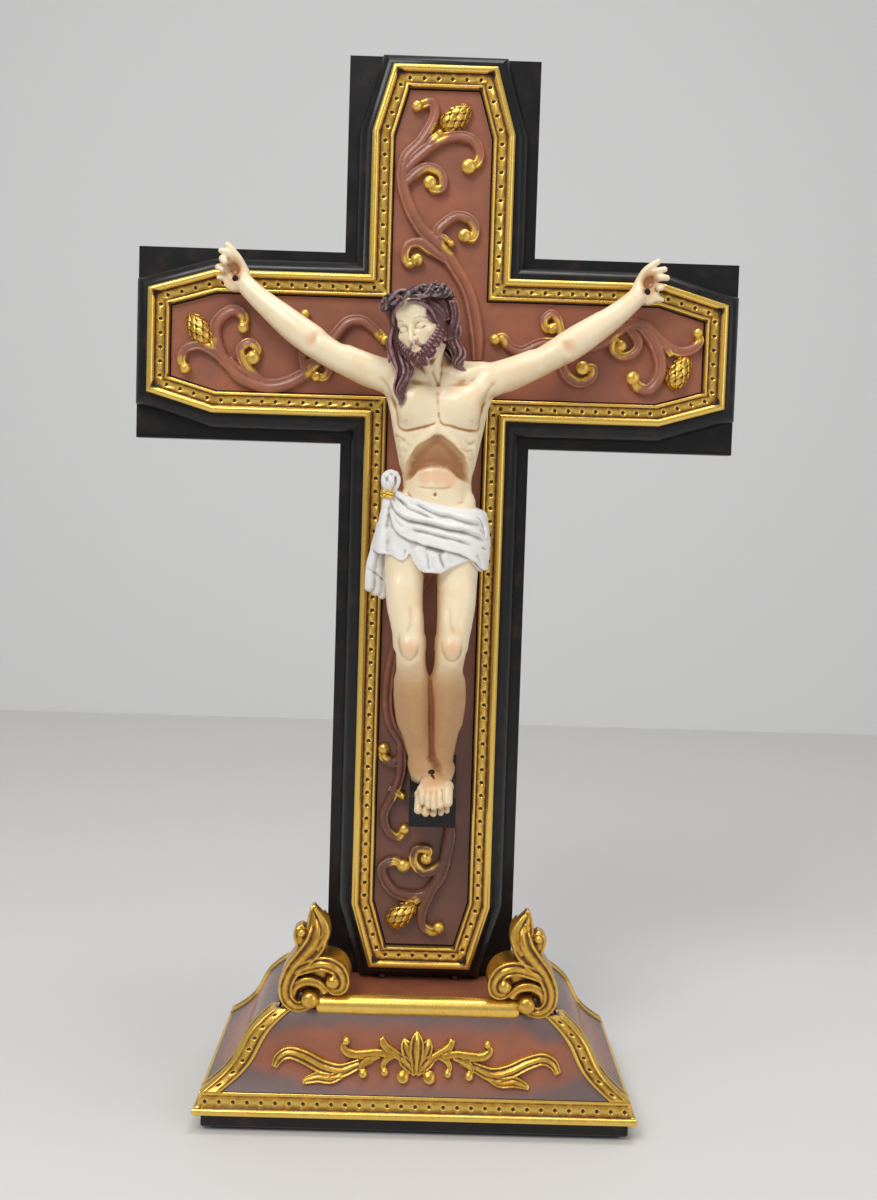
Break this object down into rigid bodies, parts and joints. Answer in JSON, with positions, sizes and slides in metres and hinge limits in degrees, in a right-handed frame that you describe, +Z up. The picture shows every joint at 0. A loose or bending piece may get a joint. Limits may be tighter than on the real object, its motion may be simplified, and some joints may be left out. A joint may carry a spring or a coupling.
{
  "type": "standing crucifix statuette",
  "caption": "Standing crucifix with a painted corpus on a gilt-framed cross with vine scrollwork, carried by a moulded plinth with scroll brackets.",
  "frame": {"origin": "middle of the plinth's underside, on the surface it stands on", "axes": "+Z up along the cross's shaft, -Y out of the front, +X along the right arm as seen from the front"},
  "size_m": [0.288, 0.112, 0.5],
  "materials": {
    "black_lacquer": "gloss",
    "antique_gilt": "satin",
    "red_brown_glaze": "satin",
    "flesh_paint": "satin",
    "hair_paint": "satin",
    "thorn_paint": "matte",
    "linen_paint": "matte",
    "steel": "satin",
    "felt": "matte"
  },
  "bodies": {
    "root": {"arm_left": "flesh_paint", "arm_right": "flesh_paint", "backing_board": "black_lacquer", "bud_bottom": "antique_gilt", "bud_left": "antique_gilt", "bud_right": "antique_gilt", "bud_top": "antique_gilt", "corpus_body": "flesh_paint", "cross_body": "black_lacquer", "cross_panel": "red_brown_glaze", "crown_of_thorns": "thorn_paint", "felt_pad": "felt", "fixing_screw_left": "steel", "fixing_screw_right": "steel", "footrest": "black_lacquer", "gilt_corner_front_left": "antique_gilt", "gilt_corner_front_right": "antique_gilt", "gilt_corner_rear_left": "antique_gilt", "gilt_corner_rear_right": "antique_gilt", "gilt_moulding_bottom": "antique_gilt", "gilt_moulding_left": "antique_gilt", "gilt_moulding_right": "antique_gilt", "gilt_moulding_top": "antique_gilt", "gilt_rail_front": "antique_gilt", "gilt_rail_left": "antique_gilt", "gilt_rail_rear": "antique_gilt", "gilt_rail_right": "antique_gilt", "hair_and_beard": "hair_paint", "loincloth": "linen_paint", "mounting_pin_lower": "steel", "mounting_pin_upper": "steel", "nail_feet": "steel", "nail_hand_left": "steel", "nail_hand_right": "steel", "plinth_core": "black_lacquer", "plinth_foot": "black_lacquer", "plinth_ornament": "antique_gilt", "plinth_panel_front": "red_brown_glaze", "plinth_panel_left": "red_brown_glaze", "plinth_panel_rear": "red_brown_glaze", "plinth_panel_right": "red_brown_glaze", "plinth_top": "red_brown_glaze", "roll_bar": "antique_gilt", "vine_beside_legs": "red_brown_glaze", "vine_bottom": "red_brown_glaze", "vine_left": "red_brown_glaze", "vine_right": "red_brown_glaze", "vine_top": "red_brown_glaze", "volute_left": "antique_gilt", "volute_right": "antique_gilt", "waist_cord": "antique_gilt"}
  },
  "joints": []
}
